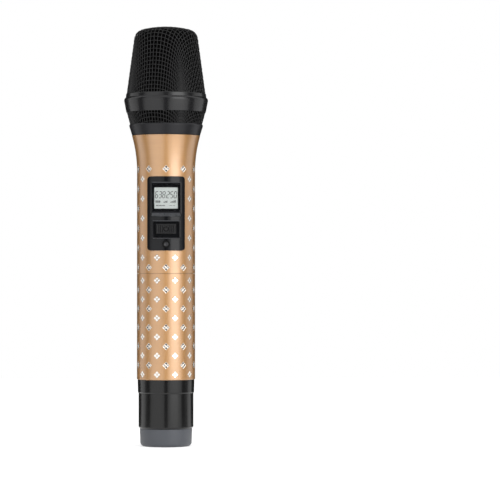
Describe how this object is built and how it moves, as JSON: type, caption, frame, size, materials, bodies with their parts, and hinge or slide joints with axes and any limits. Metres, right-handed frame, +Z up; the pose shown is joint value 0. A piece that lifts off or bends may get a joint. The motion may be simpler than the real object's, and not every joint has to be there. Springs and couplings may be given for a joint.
{
  "type": "cordless handheld microphone",
  "caption": "Cordless handheld karaoke microphone: metal grip with a display panel, slide switch and round button, a wire mesh head, and a battery tray that lifts out of the handle.",
  "frame": {"origin": "centre of the end cap's flat foot, where the microphone stands upright", "axes": "+Z up the grip towards the grille; -Y out of the display panel; +X to the right when the panel faces the viewer"},
  "size_m": [0.052, 0.052, 0.26],
  "materials": {
    "gold_aluminium": "satin gold anodised tube with bright diamond-cut marks",
    "tail_plastic": "satin black moulding",
    "cap_plastic": "satin blue-grey moulding",
    "ring_metal": "satin dark grey",
    "band_metal": "semi-gloss black",
    "mesh_wire": "black coated woven wire",
    "foam": "open-cell black foam",
    "panel_plastic": "gloss black",
    "lens_clear": "clear polished window",
    "lcd": "reflective liquid crystal with dark segments",
    "light_guide": "milky white",
    "strip_rubber": "soft",
    "knob_plastic": "fine textured",
    "button_plastic": "satin",
    "frame_plastic": "moulded",
    "cell_wrap": "printed plastic sleeve",
    "contact_steel": "nickel plated",
    "copper": "enamelled copper wire",
    "lead_jacket": "satin",
    "signal_jacket": "satin",
    "board": "green solder mask",
    "shield_tin": "tinned",
    "chip": "moulded epoxy",
    "socket_plastic": "ivory moulding",
    "switch_metal": "pressed steel can",
    "plunger_plastic": "moulded",
    "mount_rubber": "soft",
    "capsule_plastic": "moulded",
    "terminal_fibre": "fibre board",
    "yoke_steel": "plated",
    "magnet": "sintered",
    "membrane": "thin film",
    "screw_steel": "zinc plated"
  },
  "bodies": {
    "handle": {"lower_sleeve": "gold_aluminium", "tail_housing": "tail_plastic", "end_cap": "cap_plastic"},
    "transmitter": {"upper_barrel": "gold_aluminium", "joint_collar": "frame_plastic", "inner_frame": "frame_plastic", "battery_tray": "frame_plastic", "battery_left": "cell_wrap", "battery_right": "cell_wrap", "battery_spring_lower": "contact_steel", "battery_spring_upper": "contact_steel", "contact_bridge": "contact_steel", "contact_plates": "contact_steel", "battery_leads": "lead_jacket", "antenna_coil": "copper", "main_board": "board", "rf_shield": "shield_tin", "rf_chip": "chip", "lead_socket": "socket_plastic", "capsule_leads": "signal_jacket", "display_bezel": "panel_plastic", "display_lens": "lens_clear", "lcd_glass": "lcd", "backlight": "light_guide", "contact_strip": "strip_rubber", "slide_switch": "switch_metal", "button_switch": "chip", "neck_collar": "frame_plastic", "shock_mount": "mount_rubber", "capsule_housing": "capsule_plastic", "terminal_board": "terminal_fibre", "capsule_yoke": "yoke_steel", "capsule_magnet": "magnet", "pole_plate": "yoke_steel", "voice_coil": "copper", "diaphragm_ring": "plunger_plastic", "diaphragm": "membrane", "capsule_grid": "capsule_plastic", "board_screws": "screw_steel", "frame_screws": "screw_steel", "tray_screws": "screw_steel"},
    "head": {"neck_ring": "ring_metal", "lower_mesh": "mesh_wire", "grille_band": "band_metal", "grille_basket": "mesh_wire", "foam_liner": "foam"},
    "slider": {"slide_knob": "knob_plastic", "slide_lever": "chip"},
    "button": {"power_button": "button_plastic", "button_plunger": "plunger_plastic"}
  },
  "joints": [
    {"name": "transmitter_lift", "type": "slide", "parent": "handle", "child": "transmitter", "axis": [0, 0, 1], "range_m": [0, 0.1]},
    {"name": "head_lift", "type": "slide", "parent": "transmitter", "child": "head", "axis": [0, 0, 1], "range_m": [0, 0.045]},
    {"name": "power_slide", "type": "slide", "parent": "transmitter", "child": "slider", "axis": [0, 0, 1], "range_m": [-0.002, 0]},
    {"name": "button_press", "type": "slide", "parent": "transmitter", "child": "button", "axis": [0, 1, 0], "range_m": [0, 0.0004], "stiffness_N_per_m": 400}
  ]
}
